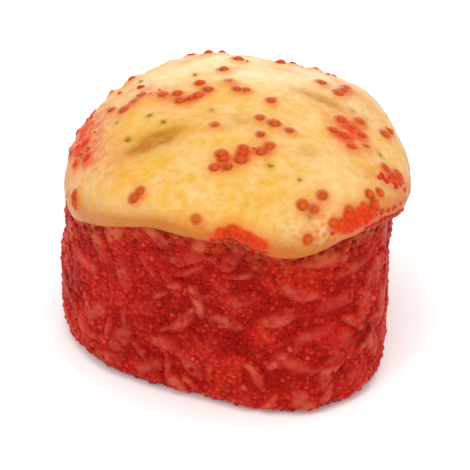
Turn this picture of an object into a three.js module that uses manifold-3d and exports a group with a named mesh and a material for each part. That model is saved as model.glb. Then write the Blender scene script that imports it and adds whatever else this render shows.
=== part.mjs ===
// One piece of a baked sushi roll, standing on its cut face: an upright drum of rice that is
// coated all over with red fish roe, under a thick domed cap of baked cheese sauce. The cap
// hangs down over the rice in uneven lobes and has larger grains of roe half sunk in it.
//
// Millimetres, +Z up. The front faces -Y, +X is to the right. Azimuths are in degrees,
// counter-clockwise from +X, so 180 is the left side and 270 is the front.

import * as THREE from 'three';
import { mergeVertices } from 'three/addons/utils/BufferGeometryUtils.js';
import Module from 'manifold-3d';

// ---------------------------------------------------------------- driving dimensions

const TOTAL_HEIGHT = 33.0; // the floor to the crown of the cap
const RICE_HEIGHT = 28.0; // the floor to the flat top of the rice, under the cap
const FIT_GAP = 0.35; // air kept between the cap and the rice

// An outline is a mean radius and the waves round it: [crests, height, azimuth of a crest].
const FOOT_OUTLINE = {
  mean: 18.9,
  waves: [[1, 1.14, 94], [2, 1.27, -31.5], [3, 1.43, -58], [4, 0.34, -42]],
};
const CAP_OUTLINE = {
  mean: 20.16,
  waves: [[1, 0.56, -15], [2, 0.69, -17.5], [3, 0.46, -42], [4, 0.18, 3]],
};

// The rice drum and its coat of roe.
const FOOT_ROUNDING = 2.0; // radius of the worn edge at the floor
const BARREL = 0.5; // how far the wall swells, most a third of the way up
const BARREL_EASE = 0.6; // below 1 it swells most under the middle
const OVERHANG = 1.3; // the cap's widest line beyond the wall, at the top
const WALL_EASE = 2.5; // the wall keeps the foot's outline low down and eases over high up
const NECK_INSET = 2.0; // the cap's widest line beyond the bare rice under it
const STEP_INSET = 0.45; // least width of the step that the cap's lip sits over
const ROE_RELIEF = 0.44; // height of the coat's beads
const BEAD_STRAY = 0.24; // how far a bead strays from its even place, in spacings
const RICE_RELIEF = 0.32; // height of the rice grains that swell under the coat
const RICE_GRAIN = { count: 150, length: 5.6, width: 2.4, faintest: 0.4 };
const RICE_LEVEL = 0.5; // share of a grain that lies under the wall's plain radius
const BEAD_HEIGHT = { least: 0.1, most: 0.6 }; // of a bead, as a share of the relief
const HOLLOW_DEPTH = { least: 0.25, most: 0.5 }; // of a hollow between beads, likewise

// Rings of the bare rice above the lip: how far in they lie, at what share of the way from the
// lip to the rice's top, and which way the gap to the cap is measured there.
const SHOULDER = [
  { inset: 0, rise: 0.45, out: 1, up: 0 },
  { inset: 1.6, rise: 0.8, out: 0.7, up: 0.7 },
  { inset: 5, rise: 1, out: 0, up: 1 },
];

// The cap of baked cheese sauce.
const EDGE_HEIGHT = 25.3; // mean height of the cap's lower edge
const LIP_INSET = 0.3; // the cap's widest line beyond the outside of its lip
const BELLY = 1.6; // the widest line above the lower edge
const BELLY_STRETCH = 0.12; // and how much higher it lies for each mm that a lobe hangs
const LIP_TURNS = [0.1, 0.3, 0.5, 0.7, 0.9]; // points round the lip, in half turns

// Soft ripples of the baked surface: crossing waves, heading in degrees and start in radians.
const RIPPLES = [
  { length: 7.5, heading: 20, start: 0.4, height: 0.065 },
  { length: 9.5, heading: 85, start: 2.1, height: 0.065 },
  { length: 12.5, heading: 140, start: 4.0, height: 0.065 },
];

// Lobes and arches of the lower edge: azimuth, half width in degrees, how far they hang.
const LOBES = [
  { at: 181, width: 34, hang: 6.2 },
  { at: 244, width: 20, hang: -1.3 },
  { at: 269, width: 7, hang: -1.2 },
  { at: 295, width: 15, hang: 1.4 },
  { at: 357, width: 26, hang: 4.4 },
  { at: 70, width: 30, hang: 4.0 },
  { at: 125, width: 20, hang: 1.5 },
];

// Larger grains of roe on the cap. A patch lies at an azimuth, `down` degrees from the crown
// (0) towards the widest line (90); it reaches so many mm along and across its lean.
const ROE_RADIUS = { least: 0.56, most: 0.82 };
const ROE_SUNK = 0.22; // how deep a grain's centre lies, as a share of its radius
const ROE_LOWEST = 88; // degrees down from the crown beyond which no grain is set
const DOME_STRETCH = 0.73; // the way down the dome for each radian, as a share of its radius
const ROE_PATCHES = [
  { at: 163, down: 44, grains: 4, along: 3.4, across: 1.0, lean: 0 },
  { at: 155, down: 20, grains: 5, along: 2.4, across: 0.9, lean: -30 },
  { at: 129, down: 18, grains: 2, along: 1.4, across: 0.4, lean: -54 },
  { at: 85, down: 13, grains: 3, along: 2.2, across: 0.5, lean: -34 },
  { at: 19, down: 13, grains: 1, along: 0, across: 0, lean: 0 },
  { at: 91, down: 34, grains: 2, along: 3.0, across: 0.5, lean: 72 },
  { at: 239, down: 14, grains: 1, along: 0, across: 0, lean: 0 },
  { at: 316, down: 17, grains: 5, along: 2.6, across: 2.0, lean: 80 },
  { at: 270, down: 29, grains: 8, along: 3.6, across: 1.1, lean: 38 },
  { at: 29, down: 43, grains: 4, along: 2.9, across: 1.3, lean: 4 },
  { at: 352, down: 41, grains: 8, along: 3.2, across: 2.1, lean: 83 },
  { at: 5, down: 62, grains: 2, along: 1.6, across: 0.5, lean: 60 },
  { at: 342, down: 67, grains: 3, along: 2.6, across: 0.5, lean: 9 },
  { at: 326, down: 70, grains: 2, along: 1.4, across: 0.4, lean: 40 },
  { at: 302, down: 59, grains: 3, along: 2.0, across: 1.4, lean: -82 },
  { at: 295, down: 81, grains: 1, along: 0, across: 0, lean: 0 },
  { at: 314, down: 78, grains: 11, along: 3.6, across: 2.2, lean: 40 },
  { at: 173, down: 68, grains: 9, along: 5.2, across: 2.6, lean: -75 },
  { at: 199, down: 82, grains: 2, along: 1.2, across: 0.4, lean: 60 },
  { at: 229, down: 65, grains: 2, along: 1.4, across: 0.3, lean: 49 },
  { at: 256, down: 74, grains: 1, along: 0, across: 0, lean: 0 },
  { at: 271, down: 88, grains: 9, along: 3.4, across: 1.1, lean: 0 },
  { at: 60, down: 62, grains: 6, along: 4.2, across: 2.4, lean: 20 },
  { at: 105, down: 62, grains: 5, along: 4.6, across: 2.0, lean: -30 },
  { at: 138, down: 68, grains: 4, along: 3.8, across: 2.2, lean: 50 },
];

// Fineness of the faceted surfaces.
const WALL_COLUMNS = 114; // even, so that the coat's beads close up round the drum
const WALL_ROWS = 25;
const CAP_COLUMNS = 66;
const DOME_ROWS = 11;
const SLOPE_STEP = 0.02; // radians between the points that give the dome's slope

// Starts of the repeatable draws.
const SEEDS = { rice: 2203, coat: 417, roe: 90 };

// ---------------------------------------------------------------- small helpers

const GOLDEN_TURN = Math.PI * (3 - Math.sqrt(5)); // the turn from one sunflower seed to the next
const DRAW_FACTOR = 16807; // multiplier and modulus of a plain congruential draw
const DRAW_MODULUS = 2147483647;

const radians = (degrees) => THREE.MathUtils.degToRad(degrees);

/** Mixes two values; share 0 gives the first and 1 the second. */
const mix = (first, second, share) => first + (second - first) * share;

/** A value drawn from a range. */
const draw = (range, dice) => mix(range.least, range.most, dice());

/** A repeatable draw of numbers from 0 to 1. */
function makeDice(seed) {
  let state = seed;
  return () => {
    state = (state * DRAW_FACTOR) % DRAW_MODULUS;
    return state / DRAW_MODULUS;
  };
}

/** Radius of an outline at an azimuth in radians. */
function outlineRadius(outline, azimuth) {
  const swell = ([crests, height, crest]) => height * Math.cos(crests * (azimuth - radians(crest)));
  return outline.waves.reduce((radius, wave) => radius + swell(wave), outline.mean);
}

/** The shorter way round from one azimuth to another, in radians. */
function turnBetween(from, to) {
  return Math.atan2(Math.sin(to - from), Math.cos(to - from));
}

/** The k-th of `count` places spread evenly over a disc of radius 1, as seeds in a sunflower. */
function sunflower(k, count) {
  const reach = Math.sqrt((k + 0.5) / count);
  return [reach * Math.cos(k * GOLDEN_TURN), reach * Math.sin(k * GOLDEN_TURN)];
}

/**
 * A closed skin of rings between two end points. Each ring runs counter-clockwise, and the
 * rings follow each other up the outside of the piece, or down a hollow of it.
 */
function closedSkin(startPoint, rings, endPoint) {
  const columns = rings[0].length;
  const positions = [startPoint, ...rings.flat(), endPoint].flat();
  const vertex = (row, column) => 1 + row * columns + (column % columns);
  const last = 1 + rings.length * columns;
  const triangles = [];
  for (let column = 0; column < columns; column += 1) {
    triangles.push(0, vertex(0, column + 1), vertex(0, column));
    triangles.push(last, vertex(rings.length - 1, column), vertex(rings.length - 1, column + 1));
  }
  for (let row = 0; row < rings.length - 1; row += 1) {
    for (let column = 0; column < columns; column += 1) {
      const corners = [
        vertex(row, column),
        vertex(row, column + 1),
        vertex(row + 1, column + 1),
        vertex(row + 1, column),
      ];
      // Cells are split from hollow to hollow, so that every raised point is a round bead.
      const first = (row + column) % 2;
      for (const [a, b, c] of [[1, 2, 3], [3, 0, 1]]) {
        triangles.push(corners[(a + first) % 4], corners[(b + first) % 4], corners[(c + first) % 4]);
      }
    }
  }
  const geometry = new THREE.BufferGeometry();
  geometry.setAttribute('position', new THREE.Float32BufferAttribute(positions, 3));
  geometry.setIndex(triangles);
  return geometry;
}

/**
 * One ring of points, from a function that gives radius and height at an azimuth. `turned`
 * says how many spacings a point is turned out of its even place.
 */
function ring(columns, profile, turned = () => 0) {
  return Array.from({ length: columns }, (_, column) => {
    const azimuth = (2 * Math.PI * (column + turned())) / columns;
    const [radius, height] = profile(azimuth, column);
    return [radius * Math.cos(azimuth), radius * Math.sin(azimuth), height];
  });
}

// ---------------------------------------------------------------- form shared by both pieces

/** Height of the cap's lower edge. */
function edgeHeight(azimuth) {
  return LOBES.reduce((height, lobe) => {
    const away = turnBetween(radians(lobe.at), azimuth) / radians(lobe.width);
    return height - lobe.hang * Math.exp(-away * away);
  }, EDGE_HEIGHT);
}

/** Radius of the drum's wall, without its relief. */
function wallRadius(azimuth, height) {
  const rise = height / RICE_HEIGHT;
  const foot = outlineRadius(FOOT_OUTLINE, azimuth);
  const brow = outlineRadius(CAP_OUTLINE, azimuth) - OVERHANG;
  const low = Math.max(0, FOOT_ROUNDING - height);
  const worn = FOOT_ROUNDING - Math.sqrt(FOOT_ROUNDING ** 2 - low ** 2);
  const swell = BARREL * Math.sin(Math.PI * rise ** BARREL_EASE);
  return mix(foot, brow, rise ** WALL_EASE) + swell - worn;
}

/** Radius of the bare rice under the cap. */
function neckRadius(azimuth) {
  const underCap = outlineRadius(CAP_OUTLINE, azimuth) - NECK_INSET;
  return Math.min(underCap, wallRadius(azimuth, edgeHeight(azimuth)) - STEP_INSET);
}

/** Radius and height of a ring of the bare rice, or of the cap's inside, `gap` away from it. */
function shoulderProfile(azimuth, step, gap) {
  const height = mix(edgeHeight(azimuth), RICE_HEIGHT, step.rise);
  return [neckRadius(azimuth) - step.inset + gap * step.out, height + gap * step.up];
}

// ---------------------------------------------------------------- rice in its coat of roe

/** Rice grains lying every way in the drum's wall: where, how they lean, how much they show. */
function riceGrains() {
  const dice = makeDice(SEEDS.rice);
  return Array.from({ length: RICE_GRAIN.count }, (_, k) => ({
    azimuth: k * GOLDEN_TURN,
    height: ((k + 0.5) / RICE_GRAIN.count) * RICE_HEIGHT,
    lean: Math.PI * dice(),
    show: mix(RICE_GRAIN.faintest, 1, dice()),
  }));
}

/** How far the rice swells the coat at a place on the wall. */
function riceSwell(grains, azimuth, height) {
  let swell = 0;
  for (const grain of grains) {
    const across = turnBetween(grain.azimuth, azimuth) * FOOT_OUTLINE.mean;
    const up = height - grain.height;
    const along = (across * Math.cos(grain.lean) + up * Math.sin(grain.lean)) / (RICE_GRAIN.length / 2);
    const beside = (up * Math.cos(grain.lean) - across * Math.sin(grain.lean)) / (RICE_GRAIN.width / 2);
    const fullness = 1 - along ** 2 - beside ** 2;
    if (fullness > 0) {
      swell = Math.max(swell, grain.show * Math.sqrt(fullness));
    }
  }
  return RICE_RELIEF * (swell - RICE_LEVEL);
}

/** The drum: a beaded wall up to the cap's edge, then bare rice that the cap hides. */
function riceInRoe() {
  const dice = makeDice(SEEDS.coat);
  const grains = riceGrains();
  const rings = [];
  for (let row = 0; row < WALL_ROWS; row += 1) {
    const inside = row > 0 && row < WALL_ROWS - 1;
    const stray = () => (inside ? BEAD_STRAY * (2 * dice() - 1) : 0);
    rings.push(ring(WALL_COLUMNS, (azimuth, column) => {
      const height = (edgeHeight(azimuth) - FIT_GAP) * ((row + stray()) / (WALL_ROWS - 1));
      const bead = (row + column) % 2 === 0 ? draw(BEAD_HEIGHT, dice) : -draw(HOLLOW_DEPTH, dice);
      const relief = ROE_RELIEF * bead + riceSwell(grains, azimuth, height);
      return [wallRadius(azimuth, height) + relief, height];
    }, stray));
  }
  rings.push(ring(WALL_COLUMNS, (azimuth) => [neckRadius(azimuth), edgeHeight(azimuth)]));
  for (const step of SHOULDER) {
    rings.push(ring(WALL_COLUMNS, (azimuth) => shoulderProfile(azimuth, step, 0)));
  }
  return closedSkin([0, 0, 0], rings, [0, 0, RICE_HEIGHT]);
}

// ---------------------------------------------------------------- cap of baked cheese sauce

/** Height of the ripples at a place on the dome. */
function rippleHeight(x, y) {
  return RIPPLES.reduce((sum, wave) => {
    const along = x * Math.cos(radians(wave.heading)) + y * Math.sin(radians(wave.heading));
    return sum + wave.height * Math.sin((2 * Math.PI * along) / wave.length + wave.start);
  }, 0);
}

/** Radius and height of the dome, `down` radians from the crown towards the widest line. */
function domeProfile(azimuth, down) {
  const edge = edgeHeight(azimuth);
  const belly = edge + BELLY + BELLY_STRETCH * Math.max(0, EDGE_HEIGHT - edge);
  const radius = outlineRadius(CAP_OUTLINE, azimuth) * Math.sin(down);
  const ripple = rippleHeight(radius * Math.cos(azimuth), radius * Math.sin(azimuth));
  return [radius + ripple * Math.sin(down), belly + (TOTAL_HEIGHT - belly + ripple) * Math.cos(down)];
}

/** A point of the dome. */
function domePoint(azimuth, down) {
  const [radius, height] = domeProfile(azimuth, down);
  return new THREE.Vector3(radius * Math.cos(azimuth), radius * Math.sin(azimuth), height);
}

/** The rounded lip: `turn` runs from 0 at the inner wall through half a turn to the outside. */
function lipProfile(azimuth, turn) {
  const inner = neckRadius(azimuth) + FIT_GAP;
  const outer = outlineRadius(CAP_OUTLINE, azimuth) - LIP_INSET;
  const half = (outer - inner) / 2;
  return [inner + half * (1 - Math.cos(turn)), edgeHeight(azimuth) + half * (1 - Math.sin(turn))];
}

/** The cap without its roe: underside, inner wall, lip and dome. */
function bareCap() {
  const rings = SHOULDER.toReversed().map((step) => (
    ring(CAP_COLUMNS, (azimuth) => shoulderProfile(azimuth, step, FIT_GAP))
  ));
  for (const turn of LIP_TURNS) {
    rings.push(ring(CAP_COLUMNS, (azimuth) => lipProfile(azimuth, turn * Math.PI)));
  }
  for (let row = DOME_ROWS; row > 0; row -= 1) {
    const down = (Math.PI / 2) * (row / DOME_ROWS);
    rings.push(ring(CAP_COLUMNS, (azimuth) => domeProfile(azimuth, down)));
  }
  const crown = domePoint(0, 0);
  return closedSkin([0, 0, RICE_HEIGHT + FIT_GAP], rings, crown.toArray());
}

/** Where a patch's grains lie: azimuth and angle down from the crown, both in radians. */
function patchPlaces(patch) {
  const mmPerRadian = CAP_OUTLINE.mean * DOME_STRETCH;
  const centre = [
    radians(patch.down) * mmPerRadian * Math.cos(radians(patch.at)),
    radians(patch.down) * mmPerRadian * Math.sin(radians(patch.at)),
  ];
  return Array.from({ length: patch.grains }, (_, k) => {
    const [out, side] = sunflower(k, patch.grains);
    const along = out * patch.along;
    const across = side * patch.across;
    const lean = radians(patch.lean);
    const u = centre[0] + along * Math.cos(lean) - across * Math.sin(lean);
    const v = centre[1] + along * Math.sin(lean) + across * Math.cos(lean);
    const down = Math.hypot(u, v) / mmPerRadian;
    return { azimuth: Math.atan2(v, u), down: Math.min(down, radians(ROE_LOWEST)) };
  });
}

/** One grain of roe, half sunk in the dome. */
function roeGrain(place, radius, spin) {
  const point = domePoint(place.azimuth, place.down);
  const downhill = domePoint(place.azimuth, place.down + SLOPE_STEP).sub(point);
  const round = domePoint(place.azimuth + SLOPE_STEP, place.down).sub(point);
  const outward = downhill.cross(round).normalize();
  const grain = new THREE.IcosahedronGeometry(radius, 0);
  grain.rotateX(spin);
  grain.rotateZ(2 * spin);
  grain.translate(...point.addScaledVector(outward, -ROE_SUNK * radius).toArray());
  return grain;
}

/** The cap with its grains of roe fused on. */
function bakedCap(kernel) {
  const dice = makeDice(SEEDS.roe);
  let cap = toSolid(kernel, bareCap());
  for (const place of ROE_PATCHES.flatMap(patchPlaces)) {
    const grain = roeGrain(place, draw(ROE_RADIUS, dice), Math.PI * dice());
    cap = cap.add(toSolid(kernel, grain));
  }
  return fromSolid(cap);
}

// ---------------------------------------------------------------- joining

/** A closed geometry as a solid that can be joined. */
function toSolid(kernel, geometry) {
  const bare = geometry.clone();
  bare.deleteAttribute('normal');
  bare.deleteAttribute('uv');
  const merged = mergeVertices(bare, 1e-5);
  const mesh = new kernel.Mesh({
    numProp: 3,
    vertProperties: new Float32Array(merged.attributes.position.array),
    triVerts: new Uint32Array(merged.index.array),
  });
  return new kernel.Manifold(mesh);
}

/** A joined solid as a geometry again. */
function fromSolid(solid) {
  const { vertProperties, triVerts } = solid.getMesh();
  const geometry = new THREE.BufferGeometry();
  geometry.setAttribute('position', new THREE.BufferAttribute(vertProperties, 3));
  geometry.setIndex(new THREE.BufferAttribute(triVerts, 1));
  return geometry;
}

/** A named mesh with its own material. */
function piece(name, geometry, look) {
  geometry.computeVertexNormals();
  const mesh = new THREE.Mesh(geometry, new THREE.MeshStandardMaterial({ metalness: 0, ...look }));
  mesh.name = name;
  return mesh;
}

// ---------------------------------------------------------------- the piece of roll

const kernel = await Module();
kernel.setup();

const sushiRoll = new THREE.Group();
sushiRoll.name = 'baked_sushi_roll';
sushiRoll.add(
  piece('rice_in_roe', riceInRoe(), { color: 0xb01a12, roughness: 0.35 }),
  piece('baked_cap', bakedCap(kernel), { color: 0xf0cc80, roughness: 0.4 }),
);

export default sushiRoll;
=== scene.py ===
"""A piece of baked sushi roll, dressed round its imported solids.

The piece stands on its cut face: a drum of rice coated all over in fine red fish roe, under a
domed cap of baked cheese sauce that hangs down in lobes and has larger grains of roe half
sunk in it. Sizes are in millimetres until a mesh is made, then metres. The front faces -Y,
and azimuths are in degrees, counter-clockwise from +X.
"""

import logging
import math
from collections.abc import Sequence
from dataclasses import dataclass, field
from enum import Enum

import bpy
import numpy as np
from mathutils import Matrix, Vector


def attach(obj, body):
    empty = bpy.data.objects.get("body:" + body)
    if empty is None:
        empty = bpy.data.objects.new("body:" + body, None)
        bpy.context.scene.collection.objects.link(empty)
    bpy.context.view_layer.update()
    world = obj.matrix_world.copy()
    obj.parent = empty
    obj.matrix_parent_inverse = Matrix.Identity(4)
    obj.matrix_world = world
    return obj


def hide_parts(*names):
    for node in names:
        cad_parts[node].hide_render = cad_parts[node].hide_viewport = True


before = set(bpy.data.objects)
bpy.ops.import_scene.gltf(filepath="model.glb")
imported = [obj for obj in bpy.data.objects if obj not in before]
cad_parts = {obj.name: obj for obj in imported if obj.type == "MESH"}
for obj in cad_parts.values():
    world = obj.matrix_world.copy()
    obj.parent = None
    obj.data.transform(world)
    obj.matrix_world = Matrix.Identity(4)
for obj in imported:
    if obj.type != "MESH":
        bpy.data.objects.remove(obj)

Array = np.ndarray
Colour = tuple[float, float, float]
Socket = bpy.types.NodeSocket

MM = 0.001  # metres in a millimetre
BODY = "root"
GOLDEN_TURN = math.pi * (3.0 - math.sqrt(5.0))  # from one sunflower seed to the next
LEAST_REACH = 0.1  # mm that a patch of a single grain reaches

log = logging.getLogger("sushi_roll")


# ------------------------------------------------------------------ small helpers


class Dice:
    """A repeatable draw of numbers, the same one that the solids are made with."""

    FACTOR = 16807
    MODULUS = 2147483647

    def __init__(self, seed: int) -> None:
        """Starts the draw from a seed."""
        self.state = seed

    def draw(self, least: float = 0.0, most: float = 1.0) -> float:
        """The next number of the draw, between least and most."""
        self.state = (self.state * self.FACTOR) % self.MODULUS
        return least + (most - least) * self.state / self.MODULUS


def mix(first: Array | float, second: Array | float, share: Array | float) -> Array:
    """Mixes two values; share 0 gives the first and 1 the second."""
    return first + (second - first) * share


def turn_between(start: Array | float, end: Array | float) -> Array:
    """The shorter way round from one azimuth to another, in radians."""
    return np.arctan2(np.sin(end - start), np.cos(end - start))


def ease(low: float, high: float, value: Array) -> Array:
    """Rises smoothly from 0 at low to 1 at high."""
    share = np.clip((value - low) / (high - low), 0.0, 1.0)
    return share * share * (3.0 - 2.0 * share)


def fade(distance: Array, width: float) -> Array:
    """Falls smoothly from 1 at no distance; at the width a little over a third is left."""
    return np.exp(-((distance / width) ** 2))


def full_turn(columns: int) -> Array:
    """Azimuths of a ring's points, in radians."""
    return 2.0 * math.pi * np.arange(columns) / columns


def polar(azimuth: Array, radius: Array | float, height: Array) -> Array:
    """Points in mm, one row each, from azimuths in radians, radii and heights."""
    return np.stack([radius * np.cos(azimuth), radius * np.sin(azimuth), height], axis=-1)


def distances(points: Array, centres: Array) -> Array:
    """How far points lie from each centre, one row for each point."""
    return np.linalg.norm(points[:, None, :] - centres[None, :, :], axis=2)


def sunflower(index: int, count: int) -> tuple[float, float]:
    """One place of many spread evenly over a disc of radius 1.

    Args:
        index: which place.
        count: how many places the disc holds.

    Returns:
        The place's two coordinates.
    """
    reach = math.sqrt((index + 0.5) / count)
    turn = index * GOLDEN_TURN
    return reach * math.cos(turn), reach * math.sin(turn)


@dataclass(frozen=True)
class Ripples:
    """Soft uneven waves through space, for relief that has no direction."""

    seed: int
    shortest: float
    longest: float
    count: int = 28

    def height(self, points: Array) -> Array:
        """Height of the waves at some points.

        Args:
            points: places in mm, one row each.

        Returns:
            Heights of about -1 to 1.
        """
        draw = np.random.default_rng(self.seed)
        headings = draw.normal(size=(self.count, 3))
        headings /= np.linalg.norm(headings, axis=1)[:, None]
        lengths = draw.uniform(self.shortest, self.longest, self.count)
        starts = draw.uniform(0.0, 2.0 * math.pi, self.count)
        phases = points @ (headings * (2.0 * math.pi / lengths)[:, None]).T + starts
        return np.cos(phases).sum(axis=1) / math.sqrt(2.0 * self.count)


# ------------------------------------------------------------------ form of the piece


@dataclass(frozen=True)
class Outline:
    """A mean radius and the waves round it: crests, height and azimuth of a crest."""

    mean: float
    waves: tuple[tuple[int, float, float], ...]

    def radius(self, azimuth: Array) -> Array:
        """Radius of the outline at azimuths in radians."""
        swell = sum(h * np.cos(n * (azimuth - math.radians(at))) for n, h, at in self.waves)
        return self.mean + swell


@dataclass(frozen=True)
class Lobe:
    """A lobe of the cap's lower edge, or an arch where it hangs less than nothing."""

    at: float
    width: float
    hang: float


@dataclass(frozen=True)
class Shoulder:
    """A ring of the bare rice under the cap: how far in it lies and how far up."""

    inset: float
    rise: float


@dataclass(frozen=True)
class RollForm:
    """The form that both pieces share, from the same named sizes as the solids."""

    total_height: float = 33.0
    rice_height: float = 28.0
    foot: Outline = Outline(18.9, ((1, 1.14, 94), (2, 1.27, -31.5), (3, 1.43, -58), (4, 0.34, -42)))
    cap: Outline = Outline(20.16, ((1, 0.56, -15), (2, 0.69, -17.5), (3, 0.46, -42), (4, 0.18, 3)))
    foot_rounding: float = 2.0
    barrel: float = 0.5
    barrel_skew: float = 0.6  # under 1, the wall bulges most below its middle
    overhang: float = 1.3
    wall_ease: float = 2.5
    neck_inset: float = 2.0
    step_inset: float = 0.45
    shoulders: tuple[Shoulder, ...] = (Shoulder(0.0, 0.45), Shoulder(1.6, 0.8), Shoulder(5.0, 1.0))
    mean_edge: float = 25.3
    lip_inset: float = 0.3
    belly: float = 1.6
    belly_stretch: float = 0.12
    dome_stretch: float = 0.73
    lip_run: float = 0.6  # radians beyond the widest line that stand for the lip
    lip_start: float = 0.95  # where on the lip's half turn its outside starts, as a share
    lip_turn: float = 0.55  # how much of the half turn it takes
    lobes: tuple[Lobe, ...] = (
        Lobe(181, 34, 6.2), Lobe(244, 20, -1.3), Lobe(269, 7, -1.2), Lobe(295, 15, 1.4),
        Lobe(357, 26, 4.4), Lobe(70, 30, 4.0), Lobe(125, 20, 1.5),
    )

    def edge_height(self, azimuth: Array) -> Array:
        """Height of the cap's lower edge.

        Args:
            azimuth: azimuths in radians.

        Returns:
            Heights above the floor in mm.
        """
        height = np.full_like(np.asarray(azimuth, float), self.mean_edge)
        for lobe in self.lobes:
            away = turn_between(math.radians(lobe.at), azimuth)
            height = height - lobe.hang * fade(away, math.radians(lobe.width))
        return height

    def wall_radius(self, azimuth: Array, height: Array) -> Array:
        """Radius of the drum's wall without its relief.

        Args:
            azimuth: azimuths in radians.
            height: heights above the floor in mm.

        Returns:
            Radii in mm.
        """
        rise = np.clip(height / self.rice_height, 0.0, 1.0)
        brow = self.cap.radius(azimuth) - self.overhang
        low = np.clip(self.foot_rounding - height, 0.0, self.foot_rounding)
        worn = self.foot_rounding - np.sqrt(self.foot_rounding ** 2 - low ** 2)
        swell = self.barrel * np.sin(math.pi * rise ** self.barrel_skew)
        return mix(self.foot.radius(azimuth), brow, rise ** self.wall_ease) + swell - worn

    def neck_radius(self, azimuth: Array) -> Array:
        """Radius of the bare rice under the cap."""
        at_edge = self.wall_radius(azimuth, self.edge_height(azimuth)) - self.step_inset
        return np.minimum(self.cap.radius(azimuth) - self.neck_inset, at_edge)

    def dome(self, azimuth: Array, down: Array) -> Array:
        """Points of the dome.

        Args:
            azimuth: azimuths in radians.
            down: angles from the crown, 0, to the widest line, half of pi.

        Returns:
            Points in mm, one row each.
        """
        edge = self.edge_height(azimuth)
        belly = edge + self.belly + self.belly_stretch * np.maximum(0.0, self.mean_edge - edge)
        radius = self.cap.radius(azimuth) * np.sin(down)
        height = belly + (self.total_height - belly) * np.cos(down)
        return polar(azimuth, radius, height)

    def lip(self, azimuth: Array, turn: Array, inside: float = 0.0) -> Array:
        """Points of the rounded lip.

        Args:
            azimuth: azimuths in radians.
            turn: 0 at the inner wall to pi on the outside.
            inside: how far the inner wall lies inside the bare rice, in mm.

        Returns:
            Points in mm, one row each.
        """
        inner = self.neck_radius(azimuth) - inside
        half = (self.cap.radius(azimuth) - self.lip_inset - inner) / 2
        radius = inner + half * (1.0 - np.cos(turn))
        height = self.edge_height(azimuth) + half * (1.0 - np.sin(turn))
        return polar(azimuth, radius, height)

    def outside(self, azimuth: Array, down: Array) -> Array:
        """Points of the cap's outside, over the dome and on round the lip.

        Args:
            azimuth: azimuths in radians.
            down: angles from the crown; beyond half of pi they run round the lip.

        Returns:
            Points in mm, one row each.
        """
        beyond = np.clip(down - math.pi / 2, 0.0, self.lip_run) / self.lip_run
        dome = self.dome(azimuth, np.minimum(down, math.pi / 2))
        lip = self.lip(azimuth, math.pi * (self.lip_start - self.lip_turn * beyond))
        return np.where((down > math.pi / 2)[..., None], lip, dome)

    def outward(self, azimuth: Array, down: Array) -> Array:
        """Directions straight out of the cap.

        Args:
            azimuth: azimuths in radians.
            down: angles from the crown in radians.

        Returns:
            Unit vectors, one row each.
        """
        step = 0.01
        low = np.maximum(down, step)
        downhill = self.outside(azimuth, low + step) - self.outside(azimuth, low)
        onward = self.outside(azimuth + step, low) - self.outside(azimuth, low)
        outward = np.cross(downhill, onward)
        return outward / np.linalg.norm(outward, axis=-1, keepdims=True)

    def unrolled(self, azimuth: Array, down: Array) -> tuple[Array, Array]:
        """Places of the dome laid out flat round the crown, in mm."""
        reach = down * self.cap.mean * self.dome_stretch
        return reach * np.cos(azimuth), reach * np.sin(azimuth)

    def rolled(self, u: Array, v: Array) -> tuple[Array, Array]:
        """Azimuth and angle from the crown of places laid out flat."""
        return np.arctan2(v, u), np.hypot(u, v) / (self.cap.mean * self.dome_stretch)


# ------------------------------------------------------------------ making meshes


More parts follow.
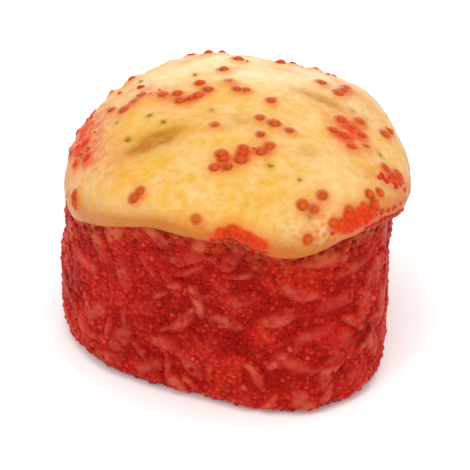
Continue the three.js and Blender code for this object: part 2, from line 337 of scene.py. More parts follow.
@dataclass
class Skin:
    """Points in mm and faces of a surface that is being made."""

    points: Array
    faces: list[tuple[int, ...]]

    @classmethod
    def closed(cls, start: Array, rings: Array, end: Array) -> "Skin":
        """A closed skin of rings between two end points.

        Args:
            start: the point that the first ring closes to.
            rings: points of rings that run counter-clockwise and follow up the outside.
            end: the point that the last ring closes to.

        Returns:
            The skin, with its faces outward.
        """
        rows, columns = rings.shape[:2]
        points = np.vstack([start, rings.reshape(-1, 3), end])
        across = np.arange(columns)
        onward = (across + 1) % columns
        base = 1 + np.arange(rows - 1)[:, None] * columns
        quads = np.stack(
            [base + across, base + onward, base + columns + onward, base + columns + across],
            axis=-1,
        ).reshape(-1, 4)
        last = len(points) - 1
        top = last - columns
        faces = [tuple(quad) for quad in quads.tolist()]
        faces += [(0, 1 + b, 1 + a) for a, b in zip(across.tolist(), onward.tolist())]
        faces += [(last, top + a, top + b) for a, b in zip(across.tolist(), onward.tolist())]
        return cls(points, faces)

    @classmethod
    def bead(cls, columns: int, tilts: Sequence[float]) -> "Skin":
        """A round bead of radius 1 about the origin, with its pole up +Z.

        Args:
            columns: points round each ring.
            tilts: degrees from the lower pole to each ring.

        Returns:
            The bead's skin.
        """
        azimuth = full_turn(columns)
        angle = np.radians(np.asarray(tilts, float))[:, None]
        rings = polar(azimuth, np.sin(angle), -np.cos(angle) * np.ones_like(azimuth))
        return cls.closed(np.array([0.0, 0.0, -1.0]), rings, np.array([0.0, 0.0, 1.0]))

    @classmethod
    def scattered(cls, template: "Skin", places: Sequence[Array]) -> "Skin":
        """Copies of one small skin.

        Args:
            template: the skin to copy.
            places: 4 by 4 matrices in mm, one for each copy.

        Returns:
            All the copies as one skin.
        """
        matrices = np.asarray(places)
        spun = np.einsum("nij,pj->npi", matrices[:, :3, :3], template.points)
        points = spun + matrices[:, None, :3, 3]
        size = len(template.points)
        faces = [
            tuple(corner + size * copy for corner in face)
            for copy in range(len(places))
            for face in template.faces
        ]
        return cls(points.reshape(-1, 3), faces)

    def piece(self, name: str, marks: dict[str, Array] | None = None) -> bpy.types.Object:
        """Makes the skin a smooth Blender object.

        Args:
            name: the piece's name.
            marks: values at each point that its finish reads, by name.

        Returns:
            The object, linked to the scene.
        """
        mesh = bpy.data.meshes.new(name)
        mesh.from_pydata((self.points * MM).tolist(), [], self.faces)
        mesh.polygons.foreach_set("use_smooth", [True] * len(mesh.polygons))
        for mark, values in (marks or {}).items():
            layer = mesh.attributes.new(mark, "FLOAT", "POINT")
            layer.data.foreach_set("value", np.asarray(values, np.float32))
        mesh.update()
        made = bpy.data.objects.new(name, mesh)
        bpy.context.scene.collection.objects.link(made)
        return made


def placed(centre: Array, outward: Array, scale: Sequence[float], spin: float) -> Array:
    """A matrix that sets a small form on a surface.

    Args:
        centre: where its middle goes, in mm.
        outward: the direction that its +Z takes.
        scale: its three half sizes in mm.
        spin: its turn about the outward direction, in radians.

    Returns:
        A 4 by 4 matrix.
    """
    least = 1e-6  # shorter than this, outward is straight up or down
    side = np.cross(np.array([0.0, 0.0, 1.0]), outward)
    length = np.linalg.norm(side)
    side = side / length if length > least else np.array([1.0, 0.0, 0.0])
    rest = np.cross(outward, side)
    first = side * math.cos(spin) + rest * math.sin(spin)
    second = np.cross(outward, first)
    matrix = np.eye(4)
    matrix[:3, 0] = first * scale[0]
    matrix[:3, 1] = second * scale[1]
    matrix[:3, 2] = np.asarray(outward) * scale[2]
    matrix[:3, 3] = centre
    return matrix


def seated(
    form: RollForm, at: tuple[float, float], off: float, scale: Sequence[float], spin: float
) -> Array:
    """A matrix that sets a small form on the cap.

    Args:
        form: the form of the piece.
        at: azimuth and angle from the crown in radians.
        off: how far its middle stands off the cap in mm; less than nothing is sunk in.
        scale: its three half sizes in mm.
        spin: its turn about the way out, in radians.

    Returns:
        A 4 by 4 matrix.
    """
    azimuth, down = np.array(at)[:, None]
    outward = form.outward(azimuth, down)[0]
    return placed(form.outside(azimuth, down)[0] + outward * off, outward, scale, spin)


def painted_light_through(template: Skin, places: Sequence[Array]) -> Array:
    """Painted light and shade on beads, as if light from one fixed side fell through them.

    A clear bead is painted dark round its rim and bright in the middle, most at its front right.

    Args:
        template: the bead that is copied.
        places: the matrices of the copies.

    Returns:
        Values of 0 to 1, one row for each bead.
    """
    offset = np.einsum("nij,pj->npi", np.asarray(places)[:, :3, :3], template.points)
    offset /= np.linalg.norm(offset, axis=2, keepdims=True)
    # the fixed way that the painted light leaves a bead, and how much is painted everywhere, at the
    # pole and there
    exit_way = np.array([0.42, -0.80, 0.42])
    everywhere, at_pole, at_exit = 0.08, 0.5, 0.45
    light = everywhere + at_pole * template.points[:, 2] + at_exit * (offset @ exit_way)
    return np.clip(light, 0.0, 1.0)


# ------------------------------------------------------------------ finishes


class Wire:
    """Lays out the nodes of one material."""

    def __init__(self, name: str) -> None:
        """Starts a material.

        Args:
            name: the material's name.
        """
        self.material = bpy.data.materials.new(name)
        self.material.use_nodes = True
        self.nodes = self.material.node_tree.nodes
        self.links = self.material.node_tree.links
        self.shader = self.nodes["Principled BSDF"]

    def node(self, kind: str, **settings: object) -> bpy.types.Node:
        """Adds a node.

        Args:
            kind: Blender's name for the kind of node.
            settings: values for the node's own properties, by name.

        Returns:
            The node.
        """
        made = self.nodes.new(kind)
        for key, value in settings.items():
            setattr(made, key, value)
        return made

    def join(self, source: Socket, target: Socket) -> None:
        """Links an output to an input."""
        self.links.new(source, target)

    def mark(self, name: str) -> Socket:
        """The value that a mesh holds under a name."""
        return self.node("ShaderNodeAttribute", attribute_name=name).outputs["Fac"]

    def noise(
        self, per_metre: float, detail: float = 2.0, rough: float = 0.5, swirl: float = 0.0
    ) -> Socket:
        """A noise through space, of 0 to 1.

        Args:
            per_metre: how many of its lumps lie along a metre.
            detail: how many finer layers it has.
            rough: how strong the finer layers are.
            swirl: how much its lumps are drawn out into swirls.

        Returns:
            The noise's value.
        """
        place = self.node("ShaderNodeTexCoord").outputs["Object"]
        noise = self.node("ShaderNodeTexNoise")
        self.join(place, noise.inputs["Vector"])
        noise.inputs["Scale"].default_value = per_metre
        noise.inputs["Detail"].default_value = detail
        noise.inputs["Roughness"].default_value = rough
        noise.inputs["Distortion"].default_value = swirl
        return noise.outputs["Fac"]

    def spread(
        self, value: Socket, low: float, high: float, start: float = 0.0, end: float = 1.0
    ) -> Socket:
        """Maps a value from one range to another and keeps it inside.

        Args:
            value: the value to map.
            low: the value that gives start.
            high: the value that gives end.
            start: the result at low.
            end: the result at high.

        Returns:
            The mapped value.
        """
        ranged = self.node("ShaderNodeMapRange")
        self.join(value, ranged.inputs["Value"])
        ranged.inputs["From Min"].default_value = low
        ranged.inputs["From Max"].default_value = high
        ranged.inputs["To Min"].default_value = start
        ranged.inputs["To Max"].default_value = end
        return ranged.outputs["Result"]

    def times(self, first: Socket, second: Socket) -> Socket:
        """Multiplies two values.

        Args:
            first: the one value.
            second: the other value.

        Returns:
            Their product.
        """
        product = self.node("ShaderNodeMath", operation="MULTIPLY")
        self.join(first, product.inputs[0])
        self.join(second, product.inputs[1])
        return product.outputs[0]

    def blend(self, under: Socket | Colour, over: Socket | Colour, share: Socket) -> Socket:
        """Lays one colour over another.

        Args:
            under: the colour where share is 0.
            over: the colour where share is 1.
            share: how much of the upper colour shows.

        Returns:
            The blended colour.
        """
        blended = self.node("ShaderNodeMix", data_type="RGBA", clamp_factor=True)
        self.join(share, blended.inputs["Factor"])
        for socket, colour in ((blended.inputs[6], under), (blended.inputs[7], over)):
            if isinstance(colour, tuple):
                socket.default_value = (*colour, 1.0)
            else:
                self.join(colour, socket)
        return blended.outputs[2]

    def relief(self, height: Socket, depth_mm: float, strength: float = 1.0) -> None:
        """Adds fine relief to the shader.

        Args:
            height: the relief's height, of 0 to 1.
            depth_mm: how high 1 stands.
            strength: how much of it shows.
        """
        bump = self.node("ShaderNodeBump")
        bump.inputs["Strength"].default_value = strength
        bump.inputs["Distance"].default_value = depth_mm * MM
        self.join(height, bump.inputs["Height"])
        before = self.shader.inputs["Normal"]
        if before.links:
            self.join(before.links[0].from_socket, bump.inputs["Normal"])
        self.join(bump.outputs["Normal"], before)

    def flesh(self, weight: float, depth_mm: float, reach: Colour) -> None:
        """Lets light travel under the surface.

        Args:
            weight: how much of the light does.
            depth_mm: how far red light travels.
            reach: how far red, green and blue go, as shares of the depth.
        """
        self.shader.inputs["Subsurface Weight"].default_value = weight
        self.shader.inputs["Subsurface Radius"].default_value = reach
        self.shader.inputs["Subsurface Scale"].default_value = depth_mm * MM

    def gloss(self, specular: float) -> None:
        """Sets how much the surface itself reflects; 0.5 is that of glass."""
        self.shader.inputs["Specular IOR Level"].default_value = specular

    def rough(self, value: Socket) -> None:
        """Lets a value say how dull the surface is."""
        self.join(value, self.shader.inputs["Roughness"])

    def paint(self, colour: Socket) -> None:
        """Gives the surface its colour."""
        self.join(colour, self.shader.inputs["Base Color"])


@dataclass(frozen=True)
class RoeFinish:
    """Translucent beads of fish roe. Each has a tint of its own, which on some pieces holds painted
    light and shade; some beads take a red, some a painted glint.
    """

    name: str
    deep: Colour
    bright: Colour
    # the pale pink of a painted glint
    massed_red_and_painted_glint: Colour = (0.72, 0.10, 0.06)
    roughness: float = 0.15
    smoothest: float = 0.7  # the least and the most that the roughness is multiplied by
    roughest: float = 1.5
    specular: float = 0.05
    flesh_weight: float = 0.6
    flesh_depth: float = 0.7
    flesh_reach: Colour = (1.0, 0.22, 0.1)

    def material(self) -> bpy.types.Material:
        """Builds the material.

        Returns:
            The material.
        """
        wire = Wire(self.name)
        mottled = wire.noise(per_metre=2600.0, detail=1.0)
        # on the cap's roe and the spilled roe the tint holds painted light and shade
        tint = wire.blend(self.deep, self.bright, wire.mark("tint"))
        dimmed = wire.spread(mottled, low=0.55, high=0.8, start=0.0, end=0.5)
        shaded = wire.blend(tint, self.deep, dimmed)
        # painted glints on the coat's beads, the red of the masses on the cap's beads
        wire.paint(wire.blend(shaded, self.massed_red_and_painted_glint, wire.mark("massed_red_and_painted_glint")))
        smooth, rough = self.roughness * self.smoothest, self.roughness * self.roughest
        wire.rough(wire.spread(mottled, low=0.3, high=0.7, start=smooth, end=rough))
        wire.relief(wire.noise(per_metre=4200.0, detail=1.0), depth_mm=0.03, strength=0.5)
        wire.flesh(self.flesh_weight, self.flesh_depth, self.flesh_reach)
        wire.gloss(self.specular)
        return wire.material


@dataclass(frozen=True)
class RiceFinish:
    """Rice that roe has stained: pale on the grains' crests and deep red between them."""

    name: str = "stained_rice"
    clot: Colour = (0.27, 0.003, 0.002)
    hollow: Colour = (0.52, 0.012, 0.005)
    crest: Colour = (0.57, 0.092, 0.050)
    sauce: Colour = (0.46, 0.11, 0.03)
    least_roughness: float = 0.32
    most_roughness: float = 0.54

    def material(self) -> bpy.types.Material:
        """Builds the material.

        Returns:
            The material.
        """
        wire = Wire(self.name)
        stain = wire.noise(per_metre=520.0, detail=3.0, rough=0.65)
        shown = wire.spread(stain, low=0.38, high=0.62, start=0.1, end=1.0)
        crest = wire.times(wire.mark("crest"), shown)
        hollow = wire.blend(self.clot, self.hollow, wire.mark("clotted"))
        grain = wire.noise(per_metre=1300.0, detail=2.0, rough=0.6)
        pitted = wire.spread(grain, low=0.48, high=0.66, start=0.0, end=0.8)
        hollow = wire.blend(hollow, self.clot, pitted)
        colour = wire.blend(hollow, self.crest, crest)
        uneven = wire.spread(stain, low=0.42, high=0.6, start=0.15, end=0.8)
        soaked = wire.times(wire.mark("seeped"), uneven)
        wire.paint(wire.blend(colour, self.sauce, soaked))
        dull = (self.least_roughness, self.most_roughness)
        wire.rough(wire.spread(stain, low=0.3, high=0.7, start=dull[0], end=dull[1]))
        wire.relief(grain, depth_mm=0.25, strength=0.7)
        wire.relief(wire.noise(per_metre=2600.0, detail=2.0), depth_mm=0.08, strength=0.6)
        wire.flesh(weight=0.35, depth_mm=1.0, reach=(1.0, 0.3, 0.15))
        wire.gloss(specular=0.04)
        return wire.material


@dataclass(frozen=True)
class SauceFinish:
    """Baked cheese sauce: creamy yellow, browned in places, stained round the roe."""

    name: str = "baked_sauce"
    cream: Colour = (0.71, 0.44, 0.15)
    golden: Colour = (0.69, 0.375, 0.055)
    deep: Colour = (0.62, 0.29, 0.026)
    # pale cream; over the back of the dome it is partly a painted sheen
    pale: Colour = (0.78, 0.62, 0.36)
    ochre: Colour = (0.44, 0.155, 0.002)
    halo: Colour = (0.66, 0.24, 0.045)
    stain: Colour = (0.65, 0.036, 0.003)
    blush: Colour = (0.62, 0.085, 0.036)
    # a grain's dark rim on the sauce: partly red stain, partly painted shade
    rim: Colour = (0.40, 0.058, 0.003)
    scorch: Colour = (0.36, 0.18, 0.02)
    # painted shade of the lip and the underside
    under: Colour = (0.50, 0.14, 0.009)

    def material(self) -> bpy.types.Material:
        """Builds the material.

        Returns:
            The material.
        """
        wire = Wire(self.name)
        cloudy = wire.noise(per_metre=130.0, detail=3.0, rough=0.55, swirl=1.2)
        mottled = wire.noise(per_metre=620.0, detail=2.0, rough=0.6)
        colour = wire.blend(self.cream, self.golden, wire.spread(cloudy, low=0.38, high=0.62))
        grain = wire.noise(per_metre=900.0, detail=2.0, rough=0.6)
        dark = wire.spread(grain, low=0.5, high=0.72, start=0.0, end=0.55)
        colour = wire.blend(colour, self.deep, dark)
        light = wire.spread(grain, low=0.48, high=0.28, start=0.0, end=0.25)
        colour = wire.blend(colour, self.pale, light)
        # paler sauce, over the back of the dome partly a painted sheen
        colour = wire.blend(colour, self.pale, wire.mark("pale_and_painted_sheen"))
        # painted shade on the cap's lower edge, its lip and its underside
        colour = wire.blend(colour, self.under, wire.mark("under"))
        uneven = wire.spread(mottled, low=0.3, high=0.6, start=0.65, end=1.0)
        colour = wire.blend(colour, self.ochre, wire.times(wire.mark("browned"), uneven))
        colour = wire.blend(colour, self.halo, wire.mark("haloed"))
        fine = wire.noise(per_metre=1100.0, detail=2.0, rough=0.7)
        blotched = wire.spread(fine, low=0.4, high=0.6, start=0.4, end=1.0)
        colour = wire.blend(colour, self.blush, wire.times(wire.mark("blushed"), blotched))
        colour = wire.blend(colour, self.stain, wire.mark("stained"))
        colour = wire.blend(colour, self.scorch, wire.mark("scorched"))
        # dark rims round the grains: partly stain, partly painted shade
        wire.paint(wire.blend(colour, self.rim, wire.mark("rim_stain_and_painted_shade")))
        moist = wire.noise(per_metre=700.0, detail=2.0)
        wire.rough(wire.spread(moist, low=0.35, high=0.65, start=0.24, end=0.5))
        lumps = wire.noise(per_metre=300.0, detail=3.0, rough=0.6, swirl=1.4)
        wire.relief(lumps, depth_mm=0.3, strength=0.45)
        curds = wire.noise(per_metre=1300.0, detail=3.0, rough=0.65)
        wire.relief(curds, depth_mm=0.15, strength=0.75)
        wire.flesh(weight=0.25, depth_mm=1.0, reach=(1.0, 0.5, 0.2))
        wire.gloss(specular=0.14)
        return wire.material


@dataclass(frozen=True)
class SpeckFinish:
    """Small scorched flecks."""

    name: str = "scorched_fleck"
    dark: Colour = (0.30, 0.14, 0.010)
    light: Colour = (0.48, 0.24, 0.022)

    def material(self) -> bpy.types.Material:
        """Builds the material.

        Returns:
            The material.
        """
        wire = Wire(self.name)
        uneven = wire.noise(per_metre=3000.0, detail=2.0)
        wire.paint(wire.blend(self.dark, self.light, uneven))
        wire.rough(wire.spread(uneven, low=0.3, high=0.7, start=0.4, end=0.65))
        wire.gloss(specular=0.08)
        return wire.material


@dataclass(frozen=True)
class GroundFinish:
    """The plain pale floor."""

    name: str = "pale_floor"
    colour: Colour = (0.9, 0.9, 0.9)
    roughness: float = 0.9
    specular: float = 0.1
    glow: float = 0.1

    def material(self) -> bpy.types.Material:
        """Builds the material.

        Returns:
            The material.
        """
        wire = Wire(self.name)
        wire.shader.inputs["Base Color"].default_value = (*self.colour, 1.0)
        wire.shader.inputs["Roughness"].default_value = self.roughness
        wire.gloss(self.specular)
        wire.shader.inputs["Emission Color"].default_value = (1.0, 1.0, 1.0, 1.0)
        wire.shader.inputs["Emission Strength"].default_value = self.glow
        return wire.material


# ------------------------------------------------------------------ rice and its coat


@dataclass(frozen=True)
class RiceGrain:
    """One grain of rice in the drum's wall: where, how it leans, how much shows, its half size."""

    azimuth: float
    height: float
    lean: float
    show: float
    half_length: float
    half_width: float


def clotting(points: Array) -> Array:
    """How brightly the roe shows at places, from 0 in dark clots to 1."""
    clots = Ripples(seed=5, shortest=4.0, longest=10.0).height(points)
    return np.clip(0.5 + 0.45 * clots, 0.0, 1.0)


@dataclass
class RiceDrum:
    """The drum of rice: a relief of packed grains, stained by the roe."""

    form: RollForm
    grain_count: int = 150
    grain_length: float = 5.6
    grain_width: float = 2.4
    grain_faintest: float = 0.4
    slim_count: int = 230
    slim_length: float = 4.2
    slim_width: float = 1.2
    slim_stretch: tuple[float, float] = (0.8, 1.2)  # the least and the most of that length
    slim_show: tuple[float, float] = (0.3, 0.95)
    slim_turn: float = 0.35  # radians from the row of the broad grains
    warp: float = 0.4  # how far the grains' outlines stray, in mm
    warp_across: Ripples = Ripples(seed=8, shortest=2.5, longest=6.0)
    warp_up: Ripples = Ripples(seed=9, shortest=2.5, longest=6.0)
    seep: float = 2.4  # how far the sauce has soaked down into the rice
    seed: int = 2203
    columns: int = 480
    wall_rows: int = 112
    base_rows: int = 26
    base_relief: float = 0.15  # how far the cut face's rice lies off the floor between its grains
    base_stretch: float = 0.7  # under 1, the cut face's grains are drawn out to the front
    sunk: float = 0.14  # how far the rice lies inside the solid's wall, under the coat
    relief: float = 0.5
    pitting: float = 0.07  # height of the fine unevenness between the grains
    pits: Ripples = Ripples(seed=14, shortest=0.9, longest=1.8)
    palest_from: float = 0.3  # grains that stand higher than this begin to pale
    grains: list[RiceGrain] = field(default_factory=list)

    def __post_init__(self) -> None:
        """Lays the grains of rice round the wall."""
        dice = Dice(self.seed)
        for index in range(self.grain_count):
            height = (index + 0.5) / self.grain_count * self.form.rice_height
            lean = math.pi * dice.draw()
            show = dice.draw(self.grain_faintest, 1.0)
            half = (self.grain_length / 2, self.grain_width / 2)
            self.grains.append(RiceGrain(index * GOLDEN_TURN, height, lean, show, *half))
        for index in range(self.slim_count):
            height = (index + 0.5) / self.slim_count * self.form.rice_height
            lean = dice.draw(0.0, math.pi)
            show = dice.draw(*self.slim_show)
            half = (self.slim_length / 2 * dice.draw(*self.slim_stretch), self.slim_width / 2)
            azimuth = index * GOLDEN_TURN + self.slim_turn
            self.grains.append(RiceGrain(azimuth, height, lean, show, *half))

    def crest(self, azimuth: Array, height: Array) -> Array:
        """How high the rice stands at places on the wall.

        Args:
            azimuth: azimuths in radians.
            height: heights above the floor in mm.

        Returns:
            0 between the grains to 1 on the crest of one that shows fully.
        """
        crest = np.zeros(np.broadcast(azimuth, height).shape)
        radius = self.form.foot.mean
        place = polar(azimuth, radius, height + crest)
        sway = self.warp * self.warp_across.height(place)
        rise = self.warp * self.warp_up.height(place)
        for grain in self.grains:
            across = turn_between(grain.azimuth, azimuth) * radius + sway
            up = height - grain.height + rise
            cos, sin = math.cos(grain.lean), math.sin(grain.lean)
            along = (across * cos + up * sin) / grain.half_length
            beside = (up * cos - across * sin) / grain.half_width
            fullness = np.sqrt(np.clip(1.0 - np.abs(along) ** 3 - beside ** 2, 0.0, 1.0))
            crest = np.maximum(crest, grain.show * fullness)
        return crest

    def surface(self, azimuth: Array, height: Array) -> tuple[Array, Array]:
        """The stained rice at places on the wall.

        Args:
            azimuth: azimuths in radians.
            height: heights above the floor in mm.

        Returns:
            Points in mm and how high the grains stand there.
        """
        crest = self.crest(azimuth, height)
        radius = self.form.wall_radius(azimuth, height) - self.sunk + self.relief * (crest - 0.5)
        points = polar(azimuth, radius, height)
        depth = self.pitting * self.pits.height(points)
        points[..., :2] *= (1.0 + depth / radius)[..., None]
        return points, crest

    def cut_face(self, azimuth: Array, share: float) -> tuple[Array, Array]:
        """One ring of the cut face that the piece stands on.

        Args:
            azimuth: azimuths in radians.
            share: how far out the ring lies, as a share of the foot's radius.

        Returns:
            The ring's points in mm and how high the grains stand there.
        """
        foot, _ = self.surface(azimuth, np.zeros_like(azimuth))
        points = foot * share
        across = points[:, 0] / self.form.foot.mean
        middle = self.form.rice_height / 2
        crest = self.crest(across, middle + self.base_stretch * points[:, 1])
        points[:, 2] = self.base_relief * (1.0 - crest)
        return points, crest

    def make(self) -> bpy.types.Object:
        """Builds the drum.

        Returns:
            The piece that stands for the solid drum.
        """
        form = self.form
        azimuth = full_turn(self.columns)
        edge = form.edge_height(azimuth)
        rings, crests = [], []
        for row in range(1, self.base_rows):
            points, crest = self.cut_face(azimuth, row / self.base_rows)
            rings.append(points)
            crests.append(crest)
        for row in range(self.wall_rows):
            points, crest = self.surface(azimuth, edge * row / (self.wall_rows - 1))
            rings.append(points)
            crests.append(crest)
        neck = form.neck_radius(azimuth)
        for shoulder in form.shoulders:
            height = mix(edge, form.rice_height, shoulder.rise)
            rings.append(polar(azimuth, neck - shoulder.inset, height))
            crests.append(np.zeros_like(azimuth))
        below = np.array([0.0, 0.0, self.base_relief])
        above = np.array([0.0, 0.0, form.rice_height])
        skin = Skin.closed(below, np.stack(rings), above)
        pale = ease(self.palest_from, 1.0, np.concatenate([[0.0], *crests, [0.0]]))
        around = np.arctan2(skin.points[:, 1], skin.points[:, 0])
        under_edge = np.maximum(form.edge_height(around) - skin.points[:, 2], 0.0)
        marks = {
            "crest": pale,
            "clotted": clotting(skin.points),
            "seeped": fade(under_edge, self.seep),
        }
        made = skin.piece("rice_drum", marks)
        made.data.materials.append(RiceFinish().material())
        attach(made, BODY)
        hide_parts("rice_in_roe")
        return made


class RoeShade(Enum):
    """The two shades of the fine roe."""

    DEEP = "deep"
    BRIGHT = "bright"


@dataclass
class RoeCoat:
    """Fine roe pressed all over the drum's wall."""

    form: RollForm
    drum: RiceDrum
    count: int = 5800
    least: float = 0.33
    most: float = 0.50
    narrowest: float = 0.82  # the least width of a bead, as a share of its length
    flatness: float = 0.92  # its height, as a share of its length
    stray: float = 0.22  # how far a bead strays from its even place, in mm
    lift: float = -0.19  # how far a bead's middle stands off the rice
    over_edge: float = 0.2  # how far the coat runs up behind the cap's edge
    off_floor: float = 1.02  # the least height of a bead's middle, as a share of its radius
    foot_lean: float = -0.8  # how far the lowest beads face down
    bare_crest: float = 0.5  # rice that stands higher than this mostly shows
    bare_share: float = 0.78
    bright_from: float = 0.6  # beads that score higher than this are of the bright shade
    bright_crest: float = 0.5  # how much a bead on a full crest scores
    crest_range: tuple[float, float] = (0.2, 0.6)  # no crest and a full one
    bright_spread: float = 0.3  # how much the score varies by chance
    # beads painted pale pink as glints: painted highlights
    painted_glint_share: float = 0.035  # of the beads, those that are paler
    painted_glint_strength: tuple[float, float] = (0.2, 0.6)
    seed: int = 31

    def finish(self, shade: RoeShade) -> RoeFinish:
        """The finish of one shade.

        Args:
            shade: which of the two shades.

        Returns:
            Its finish.
        """
        if shade is RoeShade.DEEP:
            return RoeFinish("roe_deep", deep=(0.27, 0.003, 0.002), bright=(0.47, 0.011, 0.005))
        return RoeFinish("roe_bright", deep=(0.42, 0.009, 0.004), bright=(0.58, 0.032, 0.015))

    def make(self) -> list[bpy.types.Object]:
        """Builds the coat.

        Returns:
            One piece for each shade.
        """
        draw = np.random.default_rng(self.seed)
        index = np.arange(self.count)
        azimuth = index * GOLDEN_TURN
        share = (index + 0.5) / self.count
        height = share * (self.form.edge_height(azimuth) + self.over_edge)
        azimuth = azimuth + draw.normal(scale=self.stray, size=self.count) / self.form.foot.mean
        height = height + draw.normal(scale=self.stray, size=self.count)
        radius = draw.uniform(self.least, self.most, self.count)
        height = np.maximum(height, radius * self.off_floor)
        centre, crest = self.drum.surface(azimuth, height)
        outward = polar(azimuth, 1.0, self.foot_lean * ease(self.form.foot_rounding, 0.0, height))
        outward /= np.linalg.norm(outward, axis=1)[:, None]
        bare = (crest > self.bare_crest) & (draw.uniform(size=self.count) < self.bare_share)
        clots = clotting(centre)
        score = clots + self.bright_crest * ease(*self.crest_range, crest)
        bright = score + draw.normal(scale=self.bright_spread, size=self.count) > self.bright_from
        spin = draw.uniform(0.0, 2.0 * math.pi, self.count)
        width = draw.uniform(self.narrowest, 1.0, self.count)
        tint = (clots + draw.uniform(0.0, 1.0, self.count)) / 2
        # which beads take the painted glint, and how much of it
        pale_and_painted_sheen = draw.uniform(size=self.count) < self.painted_glint_share
        massed_red_and_painted_glint = np.where(pale_and_painted_sheen, draw.uniform(*self.painted_glint_strength, self.count), 0.0)
        template = Skin.bead(columns=8, tilts=(45, 88, 128))
        made = []
        for shade in RoeShade:
            chosen = np.flatnonzero(~bare & (bright == (shade is RoeShade.BRIGHT)))
            places = [
                placed(
                    centre[i] + outward[i] * self.lift,
                    outward[i],
                    (radius[i], radius[i] * width[i], radius[i] * self.flatness),
                    spin[i],
                )
                for i in chosen
            ]
            size = len(template.points)
            marks = {
                "tint": np.repeat(tint[chosen], size),
                "massed_red_and_painted_glint": np.repeat(massed_red_and_painted_glint[chosen], size),
            }
            skin = Skin.scattered(template, places)
            piece = skin.piece(f"roe_coat_{shade.value}", marks)
            piece.data.materials.append(self.finish(shade).material())
            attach(piece, BODY)
            made.append(piece)
        return made


# ------------------------------------------------------------------ the cap and its roe


@dataclass(frozen=True)
class Patch:
    """A patch on the dome.

    It lies at an azimuth, `down` degrees from the crown (0) towards the widest line (90), and
    reaches so many mm along and across its lean.
    """

    at: float
    down: float
    along: float
    across: float
    lean: float
    grains: int = 0
    strength: float = 1.0

    def offsets(self, form: RollForm, azimuth: Array, down: Array) -> tuple[Array, Array]:
        """Places measured along and across the patch, as shares of its reach.

        Args:
            form: the form of the piece.
            azimuth: azimuths in radians.
            down: angles from the crown in radians.

        Returns:
            How far along and how far across each place lies.
        """
        u, v = form.unrolled(azimuth, down)
        middle = form.unrolled(math.radians(self.at), math.radians(self.down))
        lean = math.radians(self.lean)
        du, dv = u - middle[0], v - middle[1]
        along = du * math.cos(lean) + dv * math.sin(lean)
        across = dv * math.cos(lean) - du * math.sin(lean)
        reach = max(self.along, LEAST_REACH), max(self.across, LEAST_REACH)
        return along / reach[0], across / reach[1]

    def weight(self, form: RollForm, azimuth: Array, down: Array) -> Array:
        """How strongly the patch marks places of the dome, from 0 to its strength."""
        along, across = self.offsets(form, azimuth, down)
        return self.strength * np.exp(-(along ** 2) - across ** 2)

    def places(self, form: RollForm, lowest: float) -> list[tuple[float, float]]:
        """Azimuth and angle from the crown of each of the patch's grains.

        Args:
            form: the form of the piece.
            lowest: degrees from the crown beyond which no grain is set.

        Returns:
            One pair of radians for each grain.
        """
        middle = form.unrolled(math.radians(self.at), math.radians(self.down))
        lean = math.radians(self.lean)
        found = []
        for index in range(self.grains):
            out, side = sunflower(index, self.grains)
            along, across = out * self.along, side * self.across
            u = middle[0] + along * math.cos(lean) - across * math.sin(lean)
            v = middle[1] + along * math.sin(lean) + across * math.cos(lean)
            azimuth, down = form.rolled(u, v)
            found.append((float(azimuth), float(min(down, math.radians(lowest)))))
        return found


def marked(
    patches: Sequence[Patch], form: RollForm, azimuth: Array | float, down: Array | float
) -> Array:
    """How strongly patches mark places of the dome between them."""
    return sum(patch.weight(form, azimuth, down) for patch in patches)


ROE_PATCHES = (
    Patch(163, 44, 3.4, 1.0, 0, grains=4),
    Patch(155, 20, 2.4, 0.9, -30, grains=5),
    Patch(129, 18, 1.4, 0.4, -54, grains=2),
    Patch(85, 13, 2.2, 0.5, -34, grains=3),
    Patch(19, 13, 0, 0, 0, grains=1),
    Patch(91, 34, 3.0, 0.5, 72, grains=2),
    Patch(239, 14, 0, 0, 0, grains=1),
    Patch(316, 17, 2.6, 2.0, 80, grains=5),
    Patch(270, 29, 3.6, 1.1, 38, grains=8),
    Patch(29, 43, 2.9, 1.3, 4, grains=4),
    Patch(352, 41, 3.2, 2.1, 83, grains=8),
    Patch(5, 62, 1.6, 0.5, 60, grains=2),
    Patch(342, 67, 2.6, 0.5, 9, grains=3),
    Patch(326, 70, 1.4, 0.4, 40, grains=2),
    Patch(302, 59, 2.0, 1.4, -82, grains=3),
    Patch(295, 81, 0, 0, 0, grains=1),
    Patch(314, 78, 3.6, 2.2, 40, grains=11),
    Patch(173, 68, 5.2, 2.6, -75, grains=9),
    Patch(199, 82, 1.2, 0.4, 60, grains=2),
    Patch(229, 65, 1.4, 0.3, 49, grains=2),
    Patch(256, 74, 0, 0, 0, grains=1),
    Patch(271, 88, 3.4, 1.1, 0, grains=9),
    Patch(60, 62, 4.2, 2.4, 20, grains=6),
    Patch(105, 62, 4.6, 2.0, -30, grains=5),
    Patch(138, 68, 3.8, 2.2, 50, grains=4),
)

BROWNED_PATCHES = (
    Patch(206, 33, 2.7, 1.1, 21, strength=1.6),
    Patch(206, 35, 4.2, 2.2, 21, strength=0.3),
    Patch(20, 32.5, 2.8, 0.8, -25, strength=1.1),
    Patch(88, 30, 1.2, 0.6, 0, strength=0.5),
    Patch(283, 8, 1.6, 0.9, 0, strength=0.45),
    Patch(0, 36, 1.5, 0.7, -20, strength=0.5),
    Patch(318, 33, 1.2, 1.0, 0, strength=0.4),
    Patch(110, 48, 2.2, 0.9, 30, strength=0.5),
    Patch(60, 40, 1.8, 0.8, -40, strength=0.4),
)

